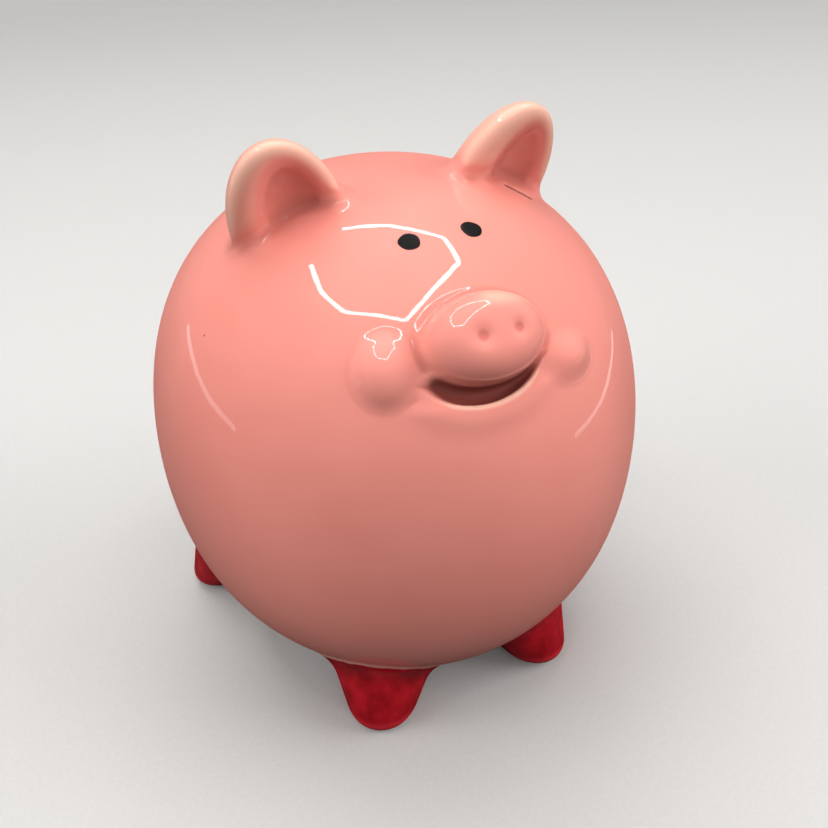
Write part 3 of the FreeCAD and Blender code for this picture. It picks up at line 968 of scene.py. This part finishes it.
def rubber(p):
    """The stopper: flange, ribbed barrel, cup on top, and a pull bar in the grip below."""
    x, y, z = p
    low, high = node_box("stopper")
    radius = np.hypot(x, y)
    half_flange = (BELLY_Z - low[2]) / 2
    across_flange = np.abs(z - (low[2] + BELLY_Z) / 2) - half_flange
    flange = smooth_max(radius - high[0], across_flange, blend=0.9)
    over_seat = z - BELLY_Z
    barrel = HOLE_RADIUS - BARREL_CLEAR - BARREL_TAPER * np.maximum(over_seat - BARREL_TAPER_FROM, 0)
    stem = smooth_max(radius - barrel, np.maximum(z - high[2], low[2] + 1 - z), blend=1.0)
    for height in RIB_HEIGHTS:
        ridge = np.hypot(radius - HOLE_RADIUS + RIB_IN, over_seat - height) - RIB_RADIUS
        stem = smooth_min(stem, ridge, blend=0.3)
    whole = smooth_min(flange, stem, blend=0.25)
    cup = smooth_max(radius - CUP_RADIUS, high[2] - CUP_DEPTH - z, blend=1.2)
    grip = smooth_max(radius - GRIP_RADIUS, z - GRIP_TOP, blend=1.2)
    whole = smooth_max(smooth_max(whole, -cup, blend=0.7), -grip, blend=0.7)
    across_bar = np.abs(z - low[2] - BAR_HALF_HEIGHT) - BAR_HALF_HEIGHT
    bar = smooth_max(np.abs(y) - BAR_HALF_WIDTH, across_bar, blend=0.9)
    return smooth_min(whole, np.maximum(bar, radius - BAR_REACH), blend=0.6)


def build_stopper(material):
    """The moulded stopper."""
    low, high = node_box("stopper")
    piece = plain_piece("stopper_moulded", rubber, around(low, high, 0.4, margin=0.9))
    show(piece, "stopper", material)


# ------------------------------------------------------------------------ stage

FLOOR_SIZE = 8  # metres
FLOOR_SEEN = (0.46, 0.456, 0.448), (0.52, 0.516, 0.508)  # the two shades of its grain
FLOOR_IN_LIGHT, FLOOR_IN_GLAZE = (0.03, 0.028, 0.026), (0.06, 0.058, 0.055)
FLOOR_FADE = 0.7, 2.0  # from here to here the floor turns into the backdrop


def floor():
    """A pale floor that lights the bank only a little, and that can be seen through from below."""
    bpy.ops.mesh.primitive_plane_add(size=FLOOR_SIZE)
    plane = bpy.context.object
    plane.name = "floor"
    nodes = new_material("floor")
    rays = nodes.node("ShaderNodeLightPath").outputs
    seen = nodes.mix(nodes.noise(1.2, 3), *FLOOR_SEEN)
    unseen = nodes.mix(rays["Is Glossy Ray"], FLOOR_IN_LIGHT, FLOOR_IN_GLAZE)
    colour = nodes.mix(rays["Is Camera Ray"], unseen, seen)
    nodes.set(Base_Color=colour, Roughness=0.75, Specular_IOR_Level=0.0)
    away = nodes.node("ShaderNodeVectorMath", operation="LENGTH")
    nodes.link(nodes.place(), away.inputs[0])
    far = nodes.between(away.outputs["Value"], *FLOOR_FADE)
    below = nodes.node("ShaderNodeNewGeometry").outputs["Backfacing"]
    surface = nodes.node("ShaderNodeMixShader")
    nodes.link(nodes.math("MAXIMUM", below, far), surface.inputs[0])
    nodes.link(nodes.shader.outputs[0], surface.inputs[1])
    nodes.link(nodes.node("ShaderNodeBsdfTransparent").outputs[0], surface.inputs[2])
    nodes.link(surface.outputs[0], nodes.tree.nodes["Material Output"].inputs["Surface"])
    nodes.use_on(plane)


WALL_COLOUR = (1.0, 0.985, 0.96, 1)
SIDE_LIGHT, TOP_LIGHT, TOP_FROM = 0.1, 0.48, 0.5  # straight up and down is 1, level is 0
GLAZE_LIGHT, BACKDROP_LIGHT = 0.15, 0.62


def studio_walls():
    """Even light from all round, which the glaze reflects only dimly."""
    world = bpy.data.worlds.new("studio")
    nodes = Nodes(world, "Background")
    rays = nodes.node("ShaderNodeLightPath").outputs
    direction = nodes.node("ShaderNodeTexCoord").outputs["Generated"]
    steep = nodes.math("ABSOLUTE", nodes.upward(direction))
    strength = nodes.ramp(steep, 0.0, TOP_FROM, SIDE_LIGHT, TOP_LIGHT)
    strength = nodes.choose(rays["Is Glossy Ray"], strength, GLAZE_LIGHT)
    strength = nodes.choose(rays["Is Camera Ray"], strength, BACKDROP_LIGHT)
    nodes.set(Color=WALL_COLOUR, Strength=strength)
    bpy.context.scene.world = world


LIT_PLACE = Vector((0, 0, 0.07))  # every lamp faces this place on the body's axis
SOFT_LAMPS = {
    "overhead": ((0.0, 0.6, 1.4), (1.2, 1.2), 11.5),
    "front_wall": ((-0.3, -1.5, 1.1), (1.4, 1.0), 8.6),
    "left_wall": ((-1.6, 0.2, 0.85), (1.4, 1.0), 17.5),
    "right_wall": ((1.5, -0.7, 0.8), (1.4, 1.0), 26.0),
}  # place, size and watts
HOOP_CORNERS = (
    (-0.06, 0.33),
    (0.09, 0.25),
    (0.225, 0.13),
    (0.225, -0.01),
    (0.05, -0.16),
    (-0.07, -0.24),
    (-0.25, -0.09),
    (-0.26, 0.06),
    (-0.19, 0.26),
)
HOOP_HEIGHT, HOOP_WIDTH, HOOP_RADIANCE = 0.6, 0.018, 16.0
EDGE_STRIPS = {
    "left_edge": ((-0.53, 0.63, 0.134), (-0.84, 0.105, 0.016), 0.03),
    "right_edge": ((0.51, 0.094, 0.024), (0.325, -0.24, 0.006), 0.012),
}  # start, end and width
EDGE_RADIANCE = 1.6


def add_lamp(name, size, watts, place, turn):
    """A rectangular lamp that is not seen itself."""
    data = bpy.data.lights.new(name, "AREA")
    data.shape = "RECTANGLE"
    data.size, data.size_y = size
    data.energy = watts
    lamp = bpy.data.objects.new(name, data)
    lamp.matrix_world = FROM_AXIS @ Matrix.Translation(place) @ turn
    lamp.visible_camera = False
    bpy.context.scene.collection.objects.link(lamp)
    return lamp


def soft_lamp(name, place, size, watts):
    """A wide lamp that doesn't show in the glaze."""
    place = Vector(place)
    turn = (LIT_PLACE - place).to_track_quat("-Z", "Y").to_matrix().to_4x4()
    add_lamp(name, size, watts, place, turn).visible_glossy = False


def strip_lamp(name, start, end, width, radiance):
    """A thin lamp from start to end that shows as a line in the glaze."""
    start, end = Vector(start), Vector(end)
    middle = (start + end) / 2
    length = (end - start).length
    along = (end - start).normalized()
    back = (middle - LIT_PLACE).normalized()
    side = back.cross(along).normalized()
    turn = Matrix((along, side, along.cross(side))).transposed().to_4x4()
    watts = radiance * length * width * math.pi
    return add_lamp(name, (length, width), watts, middle, turn)


def lights():
    """Soft light, with a hoop of strips that the glaze reflects as an outline."""
    studio_walls()
    for name, (place, size, watts) in SOFT_LAMPS.items():
        soft_lamp(name, place, size, watts)
    for at, corner in enumerate(HOOP_CORNERS):
        start = (*corner, HOOP_HEIGHT)
        end = (*HOOP_CORNERS[(at + 1) % len(HOOP_CORNERS)], HOOP_HEIGHT)
        strip_lamp(f"hoop_{at}", start, end, HOOP_WIDTH, HOOP_RADIANCE)
    for name, (start, end, width) in EDGE_STRIPS.items():
        strip_lamp(name, start, end, width, EDGE_RADIANCE).visible_diffuse = False


CAMERA_AZIMUTH, CAMERA_ELEVATION = -22.14, 32.52  # degrees
CAMERA_DISTANCE = 0.2464
CAMERA_TARGET = Vector((0, 0, 0.06875))
CAMERA_TURNS = {"Y": -1.25, "X": -0.38, "Z": -2.64}  # yaw, pitch, roll, in degrees
LENS, SENSOR = 39.13, 36.0


def camera():
    """The camera, close by and above, a little to the pig's right."""
    data = bpy.data.cameras.new("camera")
    data.lens, data.sensor_width = LENS, SENSOR
    made = bpy.data.objects.new("camera", data)
    bpy.context.scene.collection.objects.link(made)
    a, e = math.radians(CAMERA_AZIMUTH), math.radians(CAMERA_ELEVATION)
    back = Vector((math.sin(a) * math.cos(e), -math.cos(a) * math.cos(e), math.sin(e)))
    right = Vector((math.cos(a), math.sin(a), 0))
    aim = Matrix((right, back.cross(right), back)).transposed()
    for axis, degrees in CAMERA_TURNS.items():
        aim = aim @ Matrix.Rotation(math.radians(degrees), 3, axis)
    away = Matrix.Translation(CAMERA_TARGET + back * CAMERA_DISTANCE)
    made.matrix_world = FROM_AXIS @ away @ aim.to_4x4()
    bpy.context.scene.camera = made


bpy.context.scene.view_settings.view_transform = "Standard"
pink = pink_glaze()
build_body(pink)
build_ears(pink)
build_tail(pink)
build_feet(red_glaze())
build_eyes(black_enamel())
build_stopper(stopper_rubber())
floor()
lights()
camera()
